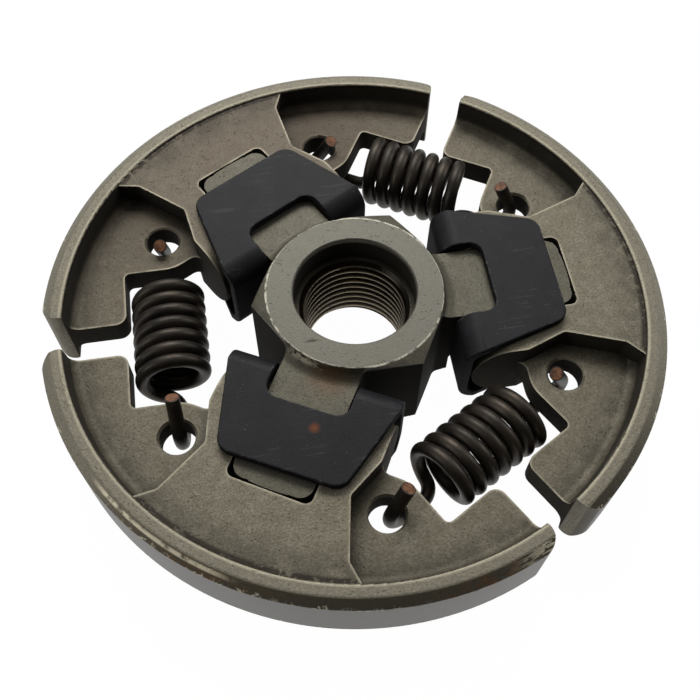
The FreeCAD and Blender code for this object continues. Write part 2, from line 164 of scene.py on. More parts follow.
def finish_piece(name, shape, body, *nodes, materials, slot, crease=30):
    # The piece in metres, smooth within its edges, riding its body in place of the CAD nodes
    bmesh.ops.scale(shape, vec=(MM,) * 3, verts=shape.verts)
    mesh = bpy.data.meshes.new(name)
    shape.to_mesh(mesh)
    shape.free()
    for material in materials:
        mesh.materials.append(material)
    mesh.shade_smooth()
    mesh.set_sharp_from_angle(angle=math.radians(crease))
    piece = bpy.data.objects.new(name, mesh)
    bpy.context.scene.collection.objects.link(piece)
    even = piece.modifiers.new("even", "WEIGHTED_NORMAL")
    even.keep_sharp = True
    if body:
        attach(piece, body)
    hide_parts(*nodes)
    return piece


def cut_thread(shape):
    # A left-hand helix of V grooves that runs out in the bevels at both ends of the bore
    half = THREAD_PITCH / 2
    flat = THREAD_PITCH / 16
    profile = [
        (THREAD_ROOT, 0), (THREAD_ROOT, flat), (THREAD_CREST, half - flat), (THREAD_CREST, half + flat),
        (THREAD_ROOT, THREAD_PITCH - flat), (THREAD_ROOT, THREAD_PITCH)
    ]
    thread = bmesh.new()
    points = [thread.verts.new((r, 0, z - THREAD_PITCH)) for r, z in profile]
    edges = [thread.edges.new(pair) for pair in zip(points, points[1:])]
    bmesh.ops.spin(thread, geom=points + edges, cent=(0, 0, 0), axis=(0, 0, -1),
                   dvec=(0, 0, THREAD_PITCH / THREAD_STEPS), angle=THREAD_TURNS * 2 * math.pi,
                   steps=THREAD_TURNS * THREAD_STEPS)
    bmesh.ops.remove_doubles(thread, verts=thread.verts, dist=0.002)
    for height, way in ((0, -1), (THREAD_TOP, 1)):
        bmesh.ops.bisect_plane(thread, geom=thread.verts[:] + thread.edges[:] + thread.faces[:],
                               plane_co=(0, 0, height), plane_no=(0, 0, way), clear_outer=True)
    for point in thread.verts:
        across = math.hypot(point.co.x, point.co.y)
        below = THREAD_CREST + LEAD_IN_BELOW - point.co.z
        above = THREAD_CREST + point.co.z - THREAD_TOP + LEAD_IN_ABOVE
        grow = max(1, max(below, above, THREAD_CREST) / across)
        point.co.x *= grow
        point.co.y *= grow
    bmesh.ops.recalc_face_normals(thread, faces=thread.faces)
    inward = sum(face.normal.dot(Vector((face.calc_center_median().x, face.calc_center_median().y, 0)))
                 for face in thread.faces)
    if inward > 0:
        bmesh.ops.reverse_faces(thread, faces=thread.faces)
    mesh = bpy.data.meshes.new("thread")
    thread.to_mesh(mesh)
    thread.free()
    shape.from_mesh(mesh)
    bpy.data.meshes.remove(mesh)


def colour(red, green, blue):
    # A colour picked from a screen, as the renderer takes it
    def linear(value):
        value /= 255
        return value / 12.92 if value <= 0.04045 else ((value + 0.055) / 1.055) ** 2.4
    return (linear(red), linear(green), linear(blue), 1)


def feed(tree, node, fed):
    # Feed a node's inputs by values or by other nodes' outputs
    for name, value in fed.items():
        if isinstance(value, bpy.types.NodeSocket):
            tree.links.new(value, node.inputs[name])
        else:
            node.inputs[name].default_value = value


def put(tree, kind, fed=None, **settings):
    # One shader node, with its settings
    node = tree.nodes.new("ShaderNode" + kind)
    for name, value in settings.items():
        setattr(node, name, value)
    feed(tree, node, fed or {})
    return node


def sum_of(tree, kind, *values):
    # The outcome of one step of arithmetic
    return put(tree, "Math", dict(enumerate(values)), operation=kind).outputs[0]


def fade(tree, value, start, end):
    # 0 at start and 1 at end, smooth between them
    return put(tree, "MapRange", {0: value, 1: start, 2: end}, interpolation_type="SMOOTHSTEP").outputs[0]


def line_at(tree, value, where, edge, core):
    # A thin line where a value passes this mark, fading out from its core to its edge
    away = sum_of(tree, "ABSOLUTE", sum_of(tree, "SUBTRACT", value, where))
    return fade(tree, away, edge, core)


def mixed(tree, share, under, over):
    # One colour over another, by its share
    return put(tree, "Mix", {0: share, 6: under, 7: over}, data_type="RGBA", blend_type="MIX").outputs[2]


def effect(name, inputs, outputs):
    # An empty node group with named inputs (a value, or None for a vector) and outputs
    tree = bpy.data.node_groups.new(name, "ShaderNodeTree")
    for label, value in inputs.items():
        kind = "NodeSocketVector" if value is None else "NodeSocketFloat"
        socket = tree.interface.new_socket(label, in_out="INPUT", socket_type=kind)
        if value is not None:
            socket.default_value = value
    for label in outputs:
        tree.interface.new_socket(label, in_out="OUTPUT", socket_type="NodeSocketFloat")
    given = tree.nodes.new("NodeGroupInput").outputs
    result = tree.nodes.new("NodeGroupOutput").inputs
    return tree, given, result


def use(tree, group, fed):
    # One of the effects, placed in a material
    node = tree.nodes.new("ShaderNodeGroup")
    node.node_tree = group
    feed(tree, node, fed)
    return node.outputs


def make_grain():
    # Grain of metal: speckle from dark to pale, open pores, and the height that they give
    tree, given, result = effect("grain", {"Vector": None, "Size": 0.0002, "Contrast": 1.0},
                                 ["Speckle", "Pores", "Height"])
    place = given["Vector"]
    density = sum_of(tree, "DIVIDE", 1.0, given["Size"])
    fine = put(tree, "TexNoise", {"Vector": place, "Scale": density, "Detail": 2.0, "Roughness": 0.6})
    spread = sum_of(tree, "SUBTRACT", fine.outputs["Fac"], 0.5)
    stretched = sum_of(tree, "MULTIPLY", spread, sum_of(tree, "MULTIPLY", given["Contrast"], 2.2))
    speckle = put(tree, "Math", {0: stretched, 1: 0.5}, operation="ADD", use_clamp=True).outputs[0]
    tree.links.new(speckle, result["Speckle"])
    pores = put(tree, "TexVoronoi", {"Vector": place, "Scale": sum_of(tree, "MULTIPLY", density, 0.5)})
    sparse = put(tree, "TexNoise", {"Vector": place, "Scale": sum_of(tree, "MULTIPLY", density, 0.2)})
    open_pores = fade(tree, pores.outputs["Distance"], 0.36, 0.14)
    dark = sum_of(tree, "MULTIPLY", open_pores, fade(tree, sparse.outputs["Fac"], 0.46, 0.62))
    tree.links.new(dark, result["Pores"])
    tree.links.new(sum_of(tree, "SUBTRACT", fine.outputs["Fac"], dark), result["Height"])
    return tree


def make_blotches():
    # Slow uneven tone over a surface, from 0 to 1
    tree, given, result = effect("blotches", {"Vector": None, "Size": 0.004, "Contrast": 0.5}, ["Tone"])
    density = sum_of(tree, "DIVIDE", 1.0, given["Size"])
    slow = put(tree, "TexNoise",
               {"Vector": given["Vector"], "Scale": density, "Detail": 3.0, "Roughness": 0.55})
    spread = sum_of(tree, "SUBTRACT", slow.outputs["Fac"], 0.5)
    stretched = sum_of(tree, "MULTIPLY", spread, sum_of(tree, "MULTIPLY", given["Contrast"], 4.0))
    level = put(tree, "Math", {0: stretched, 1: 0.5}, operation="ADD", use_clamp=True).outputs[0]
    tree.links.new(level, result["Tone"])
    return tree


def make_rubbed():
    # Bright metal along the eased edges, broken up where the surface was never touched
    tree, given, result = effect("rubbed_edges", {"Vector": None, "Size": 0.0006, "Share": 0.6}, ["Bare"])
    edge = put(tree, "Attribute", attribute_name="worn").outputs["Fac"]
    density = sum_of(tree, "DIVIDE", 1.0, given["Size"])
    broken = put(tree, "TexNoise",
                 {"Vector": given["Vector"], "Scale": density, "Detail": 3.0, "Roughness": 0.7})
    limit = sum_of(tree, "SUBTRACT", 0.85, sum_of(tree, "MULTIPLY", given["Share"], 0.6))
    rubbed = put(tree, "MapRange",
                 {0: broken.outputs["Fac"], 1: limit, 2: sum_of(tree, "ADD", limit, 0.12)})
    tree.links.new(sum_of(tree, "MULTIPLY", edge, rubbed.outputs[0]), result["Bare"])
    return tree


GRAIN = make_grain()
BLOTCHES = make_blotches()
RUBBED = make_rubbed()


def new_material(name):
    # An empty finish, with what its colours and masks are fed from
    material = bpy.data.materials.new(name)
    material.use_nodes = True
    tree = material.node_tree
    surface = tree.nodes["Principled BSDF"]
    place = put(tree, "TexCoord").outputs["Object"]
    return material, tree, surface, place


def part_of(tree, *masks):
    # Where all of these masks hold
    share = masks[0]
    for mask in masks[1:]:
        share = sum_of(tree, "MULTIPLY", share, mask)
    return share


def radius_at(tree, place):
    # Distance from the shaft's axis
    flat = put(tree, "VectorMath", {0: place, 1: (1, 1, 0)}, operation="MULTIPLY").outputs[0]
    return put(tree, "VectorMath", {0: flat}, operation="LENGTH").outputs["Value"]


def height_at(tree, place):
    # Height over the boss's lower face
    return put(tree, "SeparateXYZ", {0: place}).outputs["Z"]


def shaded_corners(tree, reach):
    # 1 deep in the piece's own hollow corners, where painted shade goes, and 0 in the open
    open_to = put(tree, "AmbientOcclusion", {"Distance": reach}, only_local=True, samples=6).outputs["AO"]
    return fade(tree, open_to, 0.85, 0.35)


def walls(tree):
    # 1 on upright faces and 0 on those that look up or down
    facing = put(tree, "TexCoord").outputs["Normal"]
    level = sum_of(tree, "ABSOLUTE", put(tree, "SeparateXYZ", {0: facing}).outputs["Z"])
    return fade(tree, level, 0.75, 0.35)


def spot(tree, place, x, y, z, reach):
    # A mark round one place on the part, in millimetres
    centre = (x * MM, y * MM, z * MM)
    away = put(tree, "VectorMath", {0: place, 1: centre}, operation="DISTANCE").outputs["Value"]
    return fade(tree, away, reach * MM, 0)


def noise(tree, place, size, start, end):
    # Patches of about this size, faded between two levels
    made = put(tree, "TexNoise", {"Vector": place, "Scale": 1 / size, "Detail": 3.0, "Roughness": 0.6})
    return fade(tree, made.outputs["Fac"], start, end)


def bumped(tree, surface, height, distance):
    # Fine relief of this depth
    bump = put(tree, "Bump", {"Height": height, "Distance": distance, "Strength": 1.0})
    tree.links.new(bump.outputs[0], surface.inputs["Normal"])


def hub_steel():
    material, tree, surface, place = new_material("hub_steel")
    grain = use(tree, GRAIN, {"Vector": place, "Size": 0.00018, "Contrast": 0.8})
    tone = use(tree, BLOTCHES, {"Vector": place, "Size": 0.002, "Contrast": 0.5})["Tone"]
    bare = use(tree, RUBBED, {"Vector": place, "Size": 0.0008, "Share": 0.75})["Bare"]
    radius = radius_at(tree, place)
    height = height_at(tree, place)

    # Milled steel with a turned face; painted shade darkens the hexagon's upright sides
    steel = mixed(tree, grain["Speckle"], colour(82, 79, 69), colour(116, 113, 100))
    steel = mixed(tree, sum_of(tree, "MULTIPLY", tone, 0.4), steel, colour(74, 66, 54))
    face = part_of(tree, fade(tree, radius, 0.0095, 0.0094), fade(tree, height, 0.0128, 0.0129))
    turned_face = mixed(tree, grain["Speckle"], colour(102, 100, 91), colour(119, 117, 107))
    steel = mixed(tree, face, steel, mixed(tree, sum_of(tree, "MULTIPLY", tone, 0.25), turned_face,
                                           colour(104, 98, 86)))
    steel = mixed(tree, sum_of(tree, "MULTIPLY", grain["Pores"], 0.2), steel, colour(60, 54, 46))
    # Painted shade: upright faces below the turned face are darkened to near black
    shaded_sides = part_of(tree, walls(tree), fade(tree, height, 0.0126, 0.0122))
    steel = mixed(tree, sum_of(tree, "MULTIPLY", shaded_sides, 0.85), steel, colour(24, 22, 18))

    # A brown tint in the front hollow, a nick in the face, painted shade in the counterbore and the hollow
    # corners, chipped edges
    brown = part_of(tree, spot(tree, place, -4.0, -9.0, 12.3, 3.5), fade(tree, radius, 0.0093, 0.0095), 0.6)
    steel = mixed(tree, brown, steel, colour(104, 76, 48))
    nick = put(tree, "VectorMath", {0: place, 1: (-0.0053, -0.0055, 0.013)}, operation="SUBTRACT").outputs[0]
    nick = put(tree, "VectorMath", {0: nick, 1: (0.5, 2.2, 1)}, operation="MULTIPLY").outputs[0]
    steel = mixed(tree, part_of(tree, spot(tree, nick, 0, 0, 0, 0.55), 0.8), steel, colour(46, 40, 33))
    # Painted shade in the counterbore and in the hollow corners
    shaded_recess = part_of(tree, fade(tree, radius, 0.0067, 0.0066), fade(tree, height, 0.01295, 0.01285))
    steel = mixed(tree, sum_of(tree, "MULTIPLY", shaded_recess, 0.2), steel, colour(36, 33, 27))
    steel = mixed(tree, sum_of(tree, "MULTIPLY", shaded_corners(tree, 0.0016), 0.7), steel, colour(30, 27, 22))
    chipped = part_of(tree, spot(tree, place, -6.4, -7.0, 12.9, 3.2), fade(tree, radius, 0.0092, 0.0094),
                      fade(tree, radius, 0.0099, 0.0096), noise(tree, place, 0.0006, 0.4, 0.5))
    steel = mixed(tree, bare, steel, colour(186, 181, 165))
    steel = mixed(tree, chipped, steel, colour(216, 208, 184))

    tree.links.new(steel, surface.inputs["Base Color"])
    tree.links.new(sum_of(tree, "MULTIPLY_ADD", shaded_sides, -0.5, 0.5), surface.inputs["Metallic"])
    tree.links.new(sum_of(tree, "MULTIPLY_ADD", shaded_sides, 0.4, 0.5), surface.inputs["Roughness"])
    surface.inputs["Specular IOR Level"].default_value = 0.15
    bumped(tree, surface, grain["Height"], 0.00002)
    return material


def thread_steel():
    material, tree, surface, place = new_material("thread_steel")
    grain = use(tree, GRAIN, {"Vector": place, "Size": 0.00025})
    crest = fade(tree, radius_at(tree, place), 0.00562, 0.00548)
    steel = mixed(tree, crest, colour(42, 38, 32), colour(160, 148, 126))
    steel = mixed(tree, sum_of(tree, "MULTIPLY", grain["Pores"], 0.6), steel, colour(30, 26, 22))
    tree.links.new(steel, surface.inputs["Base Color"])
    surface.inputs["Metallic"].default_value = 0.8
    surface.inputs["Roughness"].default_value = 0.38
    return material


carrier = solid_of("carrier")
bore_faces = [face for face in carrier.faces if radius_of(face) < BORE_REACH and abs(face.normal.z) < 0.95]
bmesh.ops.delete(carrier, geom=bore_faces, context="FACES")
turn_hollows(carrier)
ease(carrier, 0.1, 12, wanted=lambda edge: all(
    v.co.z > BOSS_HEIGHT - 0.01 and v.co.xy.length > FACE_RADIUS - 0.05 for v in edge.verts))
ease(carrier, 0.12, 30)
cut_thread(carrier)
for face in carrier.faces:
    threaded = radius_of(face) < THREAD_REACH and face.calc_center_median().z < THREAD_TOP + 0.01
    face.material_index = 1 if threaded else 0
finish_piece("carrier_dressed", carrier, "carrier", "carrier", materials=[hub_steel(), thread_steel()],
             slot="hub_steel")


# Shoes: three like arcs with a T section, pressed and sintered from iron powder.
# Only the outer band that grips the drum is ground smooth. Handling has chipped the edge
# beside it.
RIM_LOW = 3.4
RIM_TOP = 11.9
SHOE_MIDDLE = 7.65
WEB_HALF = 1.45
WEB_REACH = 31
RIDGE_RADIUS = 32.05


def outer_edges(tree, reach):
    # 1 along the piece's own outer edges, which handling rubs and where a painted highlight goes, and 0 away
    # from them
    within = put(tree, "AmbientOcclusion", {"Distance": reach}, only_local=True, inside=True, samples=8)
    return fade(tree, within.outputs["AO"], 0.95, 0.6)


def shoe_iron():
    material, tree, surface, place = new_material("shoe_iron")
    radius = radius_at(tree, place)
    height = height_at(tree, place)
    off_middle = sum_of(tree, "ABSOLUTE", sum_of(tree, "SUBTRACT", height, SHOE_MIDDLE * MM))
    within_rim = fade(tree, radius, 0.0309, 0.0307)

    # Speckled iron, browner on the second shoe and paler on the rim's end faces
    grain = use(tree, GRAIN, {"Vector": place, "Size": 0.0002, "Contrast": 0.85})
    tone = use(tree, BLOTCHES, {"Vector": place, "Size": 0.0012, "Contrast": 0.7})["Tone"]
    iron = mixed(tree, grain["Speckle"], colour(96, 91, 77), colour(152, 146, 127))
    iron = mixed(tree, sum_of(tree, "MULTIPLY", tone, 0.4), iron, colour(96, 85, 69))
    browner = spot(tree, place, -11, 28, 11, 40)
    iron = mixed(tree, sum_of(tree, "MULTIPLY", browner, 0.6), iron, colour(92, 79, 68))
    land = part_of(tree, fade(tree, radius, 0.0307, 0.0309), fade(tree, off_middle, 0.0041, 0.0042))
    pale = mixed(tree, grain["Speckle"], colour(112, 107, 93), colour(148, 142, 124))
    iron = mixed(tree, land, iron, pale)
    iron = mixed(tree, sum_of(tree, "MULTIPLY", grain["Pores"], 0.2), iron, colour(58, 50, 40))

    # Painted shade in the pockets, strongest round one shoe, and along the foot of the rim, a dark broken
    # line at the rim's foot, and painted shade on the upright walls and in the corners
    pocket = part_of(tree, fade(tree, off_middle, 0.0036, 0.0022), fade(tree, radius, 0.0307, 0.0303))
    pocket_shade = sum_of(tree, "MULTIPLY_ADD", browner, 0.6, 0.15)
    iron = mixed(tree, part_of(tree, pocket, pocket_shade), iron, colour(72, 62, 49))
    # Painted shade along the foot of the rim
    foot_shade = part_of(tree, fade(tree, radius, 0.0262, 0.0303), fade(tree, radius, 0.0309, 0.0306),
                   noise(tree, place, 0.003, 0.25, 0.6))
    iron = mixed(tree, sum_of(tree, "MULTIPLY", foot_shade, 0.5), iron, colour(46, 40, 32))
    line = part_of(tree, fade(tree, radius, 0.0300, 0.0304), within_rim,
                   noise(tree, place, 0.0007, 0.36, 0.48), fade(tree, off_middle, 0.0038, 0.0039))
    iron = mixed(tree, sum_of(tree, "MULTIPLY", line, 0.85), iron, colour(40, 32, 24))
    # Painted shade: the upright walls inside the rim are darkened
    shaded_walls = part_of(tree, walls(tree), within_rim)
    iron = mixed(tree, sum_of(tree, "MULTIPLY", shaded_walls, 0.85), iron, colour(32, 28, 22))
    iron = mixed(tree, sum_of(tree, "MULTIPLY", shaded_corners(tree, 0.003), 0.8), iron, colour(28, 24, 19))
    lip = line_at(tree, radius, 0.0309, 0.0003, 0.0001)
    iron = mixed(tree, part_of(tree, lip, land, 0.5), iron, colour(196, 188, 165))

    # The bevel beside the ground band: as pale as the rim, but with painted shade and brown streaks at the
    # front
    ragged = sum_of(tree, "MULTIPLY", noise(tree, place, 0.0009, 0.3, 0.7), 0.0005)
    low_of_edge = sum_of(tree, "ADD", off_middle, ragged)
    ground = part_of(tree, fade(tree, radius, 0.03286, 0.03292), fade(tree, low_of_edge, 0.00366, 0.00358))
    bevel = part_of(tree, fade(tree, radius, 0.03203, 0.03215), sum_of(tree, "SUBTRACT", 1.0, ground))
    # Painted shade on the front of the bevel
    shaded_front = fade(tree, put(tree, "SeparateXYZ", {0: place}).outputs["Y"], -0.014, -0.026)
    iron = mixed(tree, bevel, iron, pale)
    iron = mixed(tree, part_of(tree, bevel, shaded_front, 0.85), iron, colour(74, 68, 56))
    streaks = put(tree, "VectorMath", {0: place, 1: (0.3, 0.3, 2.5)}, operation="MULTIPLY").outputs[0]
    stripes = noise(tree, streaks, 0.0004, 0.45, 0.55)
    brown = part_of(tree, bevel, spot(tree, place, -19, -26, 11.5, 13), stripes, 0.8)
    iron = mixed(tree, brown, iron, colour(110, 84, 58))
    ridge_line = line_at(tree, radius, 0.0324, 0.00028, 0.00008)
    cream = part_of(tree, ridge_line, fade(tree, off_middle, 0.0038, 0.0039),
                    noise(tree, place, 0.001, 0.3, 0.55),
                    fade(tree, spot(tree, place, -22.5, -23, 11.7, 12), 0.1, 0.5))
    cream_end = part_of(tree, bevel, spot(tree, place, 14, -29.7, 11.5, 6), stripes)
    iron = mixed(tree, sum_of(tree, "MAXIMUM", cream, cream_end), iron, colour(230, 220, 193))
    rusty = part_of(tree, bevel, spot(tree, place, 7, -32, 11.5, 7),
                    noise(tree, place, 0.001, 0.4, 0.6), 0.6)
    iron = mixed(tree, rusty, iron, colour(112, 76, 46))

    # Bare metal on the eased and the outer edges, partly a painted highlight, and chips along the band's
    # ragged border
    border = line_at(tree, low_of_edge, 0.0037, 0.00022, 0.00005)
    chipped = sum_of(tree, "MAXIMUM", noise(tree, place, 0.005, 0.45, 0.6),
                     spot(tree, place, -19, -26, 11.5, 10))
    chips = part_of(tree, border, fade(tree, radius, 0.0326, 0.0328),
                    noise(tree, place, 0.0005, 0.5, 0.58), chipped)
    bare = use(tree, RUBBED, {"Vector": place, "Size": 0.0012, "Share": 1.1})["Bare"]
    iron = mixed(tree, bare, iron, colour(200, 192, 169))
    # Worn edges and a painted highlight along the outer edges
    rubbed = part_of(tree, outer_edges(tree, 0.00035), within_rim, noise(tree, place, 0.003, 0.2, 0.6),
                     sum_of(tree, "MULTIPLY_ADD", shaded_walls, -0.8, 0.8))
    iron = mixed(tree, rubbed, iron, colour(190, 182, 159))
    iron = mixed(tree, chips, iron, colour(214, 206, 182))

    # The ground band is smoother, and the walls inside the rim are dull
    steel = mixed(tree, grain["Speckle"], colour(82, 79, 73), colour(98, 95, 88))
    tree.links.new(mixed(tree, ground, iron, steel), surface.inputs["Base Color"])
    tree.links.new(sum_of(tree, "MULTIPLY_ADD", shaded_walls, -0.4, 0.4), surface.inputs["Metallic"])
    surface.inputs["Specular IOR Level"].default_value = 0.3
    dull = sum_of(tree, "MULTIPLY_ADD", shaded_walls, 0.35, 0.56)
    tree.links.new(sum_of(tree, "MULTIPLY_ADD", ground, -0.14, dull), surface.inputs["Roughness"])
    relief = sum_of(tree, "MULTIPLY", grain["Height"], sum_of(tree, "MULTIPLY_ADD", ground, -0.85, 1.0))
    bumped(tree, surface, relief, 0.00003)
    return material


def on_web(edge):
    # The outline of the thin web, its holes included
    return all(
        abs(abs(v.co.z - SHOE_MIDDLE) - WEB_HALF) < 0.02 and v.co.xy.length < WEB_REACH for v in edge.verts)


def on_ridge(edge):
    # The edge between the rim's end face and the bevel beside the ground band
    return edge.calc_face_angle(0) < math.radians(50) and all(
        abs(v.co.xy.length - RIDGE_RADIUS) < 0.1 and not RIM_LOW + 0.1 < v.co.z < RIM_TOP - 0.1
        for v in edge.verts)


SHOE_FINISH = shoe_iron()
for number in (1, 2, 3):
    shoe = solid_of(f"shoe_{number}")
    ease(shoe, 0.17, 35, wanted=lambda edge: not on_web(edge) and not on_ridge(edge))
    ease(shoe, 0.25, 60, rounds=1, wanted=on_web, wear=0.7)
    ease(shoe, 0.35, 30, rounds=4, wanted=on_ridge, wear=0.0)
    finish_piece(f"shoe_{number}_dressed", shoe, f"shoe_{number}", f"shoe_{number}", materials=[SHOE_FINISH],
                 slot="shoe_iron")


# Retainers: three clips bent to a U from dark spring-steel sheet.
# Each clasps the two prongs of a shoe and is notched so that the carrier's arm passes
# through it.
SCRATCHES = ((0.5, 0.2), (2.2, 0.16), (1.3, 0.12))


def retainer_sheet():
    material, tree, surface, place = new_material("retainer_sheet")
    grain = use(tree, GRAIN, {"Vector": place, "Size": 0.0002, "Contrast": 1.0})
    tone = use(tree, BLOTCHES, {"Vector": place, "Size": 0.003, "Contrast": 0.6})["Tone"]
    bare = use(tree, RUBBED, {"Vector": place, "Size": 0.0009, "Share": 0.5})["Bare"]
    sheet = mixed(tree, tone, colour(23, 23, 25), colour(34, 34, 37))
    sheet = mixed(tree, sum_of(tree, "MULTIPLY", grain["Speckle"], 0.35), sheet, colour(46, 46, 48))
    flecks = part_of(tree, noise(tree, place, 0.0003, 0.7, 0.76), 0.5)
    sheet = mixed(tree, flecks, sheet, colour(140, 138, 132))
    for way, seen in SCRATCHES:
        drawn_out = {"Vector": place, "Rotation": (0, 0, way), "Scale": (0.05, 1.6, 1.0)}
        turned = put(tree, "Mapping", drawn_out).outputs[0]
        scratches = part_of(tree, noise(tree, turned, 0.0005, 0.62, 0.7),
                            noise(tree, place, 0.003, 0.5, 0.6), seen)
        sheet = mixed(tree, scratches, sheet, colour(118, 118, 118))
    rust = part_of(tree, spot(tree, place, -6.4, -15.0, 12.68, 0.8),
                   noise(tree, place, 0.0006, 0.3, 0.5), 0.9)
    sheet = mixed(tree, rust, sheet, colour(118, 66, 32))
    # Painted shade: the upright bends of the clip are darkened
    shaded_bends = walls(tree)
    sheet = mixed(tree, sum_of(tree, "MULTIPLY", shaded_bends, 0.6), sheet, colour(15, 15, 16))
    sheet = mixed(tree, sum_of(tree, "MULTIPLY", bare, 0.5), sheet, colour(96, 96, 96))
    tree.links.new(sheet, surface.inputs["Base Color"])
    surface.inputs["Metallic"].default_value = 0.0
    surface.inputs["Specular IOR Level"].default_value = 0.17
    tree.links.new(sum_of(tree, "MULTIPLY_ADD", shaded_bends, 0.3, 0.5), surface.inputs["Roughness"])
    bumped(tree, surface, grain["Height"], 0.00001)
    return material


RETAINER_FINISH = retainer_sheet()
for number in (1, 2, 3):
    retainer = solid_of(f"retainer_{number}")
    ease(retainer, 0.22, 35)
    finish_piece(f"retainer_{number}_dressed", retainer, f"shoe_{number}", f"retainer_{number}",
                 materials=[RETAINER_FINISH], slot="retainer_sheet")


# Springs: three close coils of oiled black wire, wound right-hand, that pull the shoes in.
# Each end leaves the coil's bottom, runs under a shoe's web and leans back out of its hole.
# The wire is cropped, so its end faces are bare and have rusted to copper.
WIRE = 0.75
WIRE_SIDES = 20
COIL = 3.25
COIL_HEIGHT = 8.0
COIL_TURNS = 7
COIL_STEPS = 40 * COIL_TURNS
HOLE_ALONG = 20.0
HOLE_OFF = 12.25
HOLE_ROOM = 1.83 - 0.08
WEB_TOP = 9.1
OUT_BEND = 1.7
LEAN = math.radians(27)
WIDE = 3.0
TIGHT = 1.6

# By spring: the pitch, then for each end the last bend, how far the wire stands aside in its
# hole, and the height of its tip
PITCHES = {1: 1.65, 2: 1.55, 3: 1.65}
BENDS = {1: (TIGHT, WIDE), 2: (WIDE, TIGHT), 3: (TIGHT, WIDE)}
SWAYS = {1: (0.4, 0.3), 2: (-0.2, 0.2), 3: (-0.4, 0.1)}
TIPS = {1: (10.4, 11.4), 2: (12.6, 10.3), 3: (9.9, 12.1)}


def sweep(wire, ring, centre, axis, angle, steps, rise=Vector()):
    # Carry the open end of the wire round a bend
    made = bmesh.ops.spin(wire, geom=ring, cent=centre, axis=axis, dvec=rise / steps, angle=angle,
                          steps=steps)
    return made["geom_last"]


def edges_of(ring):
    # The edges among the parts of the wire's open end
    return [part for part in ring if isinstance(part, bmesh.types.BMEdge)]


def run_on(wire, ring, way):
    # Carry the open end of the wire straight on
    made = bmesh.ops.extrude_edge_only(wire, edges=edges_of(ring))
    moved = [part for part in made["geom"] if isinstance(part, bmesh.types.BMVert)]
    bmesh.ops.translate(wire, verts=moved, vec=way)
    return [part for part in made["geom"] if not isinstance(part, bmesh.types.BMFace)]


def wind_spring(number):
    # One whole spring: its coil, its two ends and their cropped faces
    pitch = PITCHES[number]
    slope = math.atan(pitch / (2 * math.pi * COIL))
    swing = OUT_BEND * (1 - math.sin(slope))
    leaves = [
        math.atan(swing / COIL) + math.asin(side * sway / math.hypot(COIL, swing))
        for side, sway in zip((1, -1), SWAYS[number])
    ]
    turns = COIL_TURNS - sum(leaves) / (2 * math.pi)
    length = turns * pitch

    # Wind the coil from its counterclockwise end, over the top and towards the boss
    wire = bmesh.new()
    start = leaves[0] - math.pi / 2
    first = Vector((HOLE_ALONG + COIL * math.cos(start), length / 2, COIL_HEIGHT + COIL * math.sin(start)))
    tangent = Vector((-math.sin(start) * math.cos(slope), -math.sin(slope),
                      math.cos(start) * math.cos(slope)))
    made = bmesh.ops.create_circle(wire, segments=WIRE_SIDES, radius=WIRE)
    turn_to = Vector((0, 0, 1)).rotation_difference(tangent).to_matrix().to_4x4()
    bmesh.ops.transform(wire, matrix=Matrix.Translation(first) @ turn_to, verts=made["verts"])
    near_end = wire.verts[:] + wire.edges[:]
    far_end = sweep(wire, near_end, (HOLE_ALONG, 0, COIL_HEIGHT), (0, -1, 0), turns * 2 * math.pi,
                    COIL_STEPS, Vector((0, -length, 0)))

    # Bend each end: out of the coil, straight along under the web, and up through the hole
    for side, leave, ring, bend, sway, tip in zip((1, -1), leaves, (near_end, far_end), BENDS[number],
                                                  SWAYS[number], TIPS[number]):
        way = Vector((0, side, 0))
        coil_end = Vector((HOLE_ALONG + side * COIL * math.sin(leave), side * length / 2,
                           COIL_HEIGHT - COIL * math.cos(leave)))
        flat = Vector((-side * math.cos(leave), 0, -math.sin(leave)))
        leaving = flat * math.cos(slope) + way * math.sin(slope)
        inward = way * math.cos(slope) - flat * math.sin(slope)
        middle = coil_end + inward * OUT_BEND
        ring = sweep(wire, ring, middle, leaving.cross(way), leaving.angle(way), 8)
        run_start = middle + flat * OUT_BEND

        shaft = Vector((0, -side * math.sin(LEAN), math.cos(LEAN)))
        room = HOLE_ROOM - WIRE / math.cos(LEAN)
        crossing = Vector((run_start.x, side * (HOLE_OFF - math.sqrt(room ** 2 - sway ** 2)), WEB_TOP))
        corner = crossing - shaft * ((WEB_TOP - run_start.z) / shaft.z)
        upturn = math.pi / 2 + LEAN
        reach = bend * math.tan(upturn / 2)
        ring = run_on(wire, ring, corner - way * reach - run_start)
        toward = (shaft - way).normalized()
        centre = corner + toward * (bend / math.cos(upturn / 2))
        ring = sweep(wire, ring, centre, way.cross(shaft), upturn, 12)
        top = crossing + shaft * ((tip - WEB_TOP) / shaft.z)
        ring = run_on(wire, ring, top - corner - shaft * reach)
        cap = bmesh.ops.contextual_create(wire, geom=edges_of(ring))["faces"]
        bmesh.ops.inset_individual(wire, faces=cap, thickness=0.1, depth=-0.04)
        for face in cap:
            face.material_index = 1
    bmesh.ops.recalc_face_normals(wire, faces=wire.faces)
    turn = Matrix.Rotation(TURN * (number - 0.5), 3, "Z")
    bmesh.ops.rotate(wire, cent=(0, 0, 0), matrix=turn, verts=wire.verts)
    return wire


def spring_wire():
    material, tree, surface, place = new_material("spring_wire")
    tone = use(tree, BLOTCHES, {"Vector": place, "Size": 0.0025, "Contrast": 0.6})["Tone"]
    grain = use(tree, GRAIN, {"Vector": place, "Size": 0.0002})
    black = mixed(tree, tone, colour(44, 41, 37), colour(74, 66, 57))
    tree.links.new(black, surface.inputs["Base Color"])
    surface.inputs["Metallic"].default_value = 0.7
    surface.inputs["Roughness"].default_value = 0.45
    bumped(tree, surface, grain["Height"], 0.000006)
    return material


